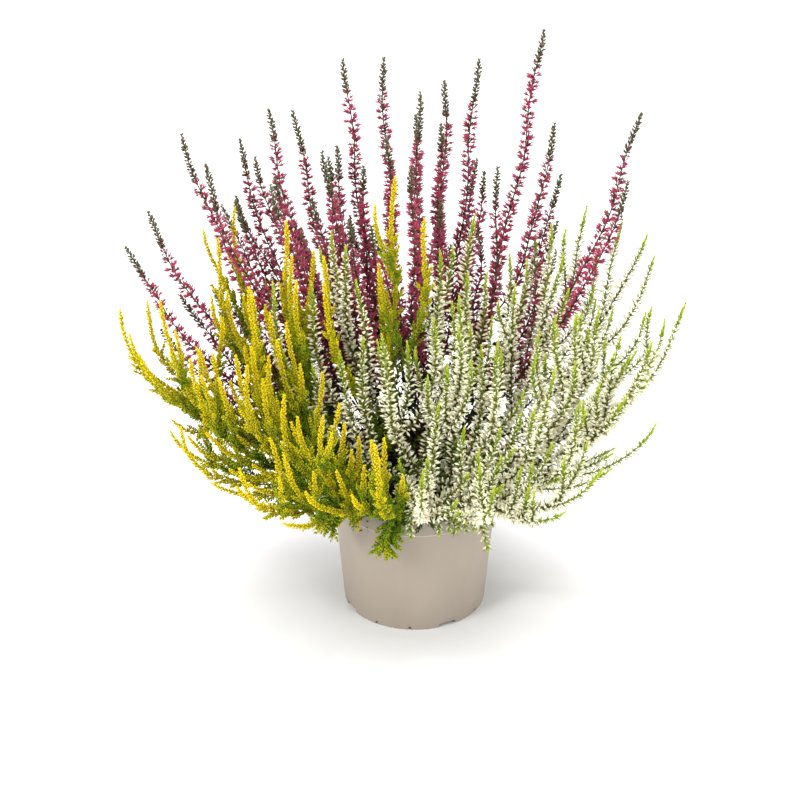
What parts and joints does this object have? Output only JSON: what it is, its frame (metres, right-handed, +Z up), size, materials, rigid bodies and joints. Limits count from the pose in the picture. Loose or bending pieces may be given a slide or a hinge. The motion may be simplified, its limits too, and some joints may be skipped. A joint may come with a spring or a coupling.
{
  "type": "potted heather",
  "caption": "Bushy potted heather: pink flower spikes behind, yellow-leaved shoots at the left and white-budded shoots at the right, rooted in soil in one tapered nursery pot.",
  "frame": {"origin": "middle of the pot's flat foot, on the surface it stands on", "axes": "+Z up along the pot's axis, -Y towards the front that the picture shows, +X to the right seen from the front"},
  "size_m": [0.3933, 0.298, 0.404],
  "materials": {
    "pot_plastic": "matte taupe injection-moulded plastic with a soft, slightly warm sheen",
    "potting_soil": "dark brown crumbly potting soil",
    "pink_heather": "crimson-pink flower spikes with dark olive leafy tips on thin dark stems",
    "yellow_heather": "golden yellow scale leaves, greener low down, on orange-brown stems",
    "white_heather": "cream-white buds among small green leaves, light green tips, tan stems"
  },
  "bodies": {
    "root": {"pot": "pot_plastic", "soil": "potting_soil", "pink_spray_01": "pink_heather", "pink_spray_02": "pink_heather", "pink_spray_03": "pink_heather", "pink_spray_04": "pink_heather", "pink_spray_05": "pink_heather", "pink_spray_06": "pink_heather", "pink_spray_07": "pink_heather", "pink_spray_08": "pink_heather", "pink_spray_09": "pink_heather", "pink_spray_10": "pink_heather", "pink_spray_11": "pink_heather", "pink_spray_12": "pink_heather", "pink_spray_13": "pink_heather", "pink_spray_14": "pink_heather", "pink_spray_15": "pink_heather", "pink_spray_16": "pink_heather", "pink_spray_17": "pink_heather", "pink_spray_18": "pink_heather", "pink_spray_19": "pink_heather", "pink_spray_20": "pink_heather", "pink_spray_21": "pink_heather", "pink_spray_22": "pink_heather", "yellow_spray_01": "yellow_heather", "yellow_spray_02": "yellow_heather", "yellow_spray_03": "yellow_heather", "yellow_spray_04": "yellow_heather", "yellow_spray_05": "yellow_heather", "yellow_spray_06": "yellow_heather", "yellow_spray_07": "yellow_heather", "yellow_spray_08": "yellow_heather", "yellow_spray_09": "yellow_heather", "yellow_spray_10": "yellow_heather", "yellow_spray_11": "yellow_heather", "yellow_spray_12": "yellow_heather", "yellow_spray_13": "yellow_heather", "yellow_spray_14": "yellow_heather", "yellow_spray_15": "yellow_heather", "yellow_spray_16": "yellow_heather", "white_spray_01": "white_heather", "white_spray_02": "white_heather", "white_spray_03": "white_heather", "white_spray_04": "white_heather", "white_spray_05": "white_heather", "white_spray_06": "white_heather", "white_spray_07": "white_heather", "white_spray_08": "white_heather", "white_spray_09": "white_heather", "white_spray_10": "white_heather", "white_spray_11": "white_heather", "white_spray_12": "white_heather", "white_spray_13": "white_heather", "white_spray_14": "white_heather", "white_spray_15": "white_heather", "white_spray_16": "white_heather", "white_spray_17": "white_heather", "white_spray_18": "white_heather", "white_spray_19": "white_heather", "white_spray_20": "white_heather"}
  },
  "joints": []
}
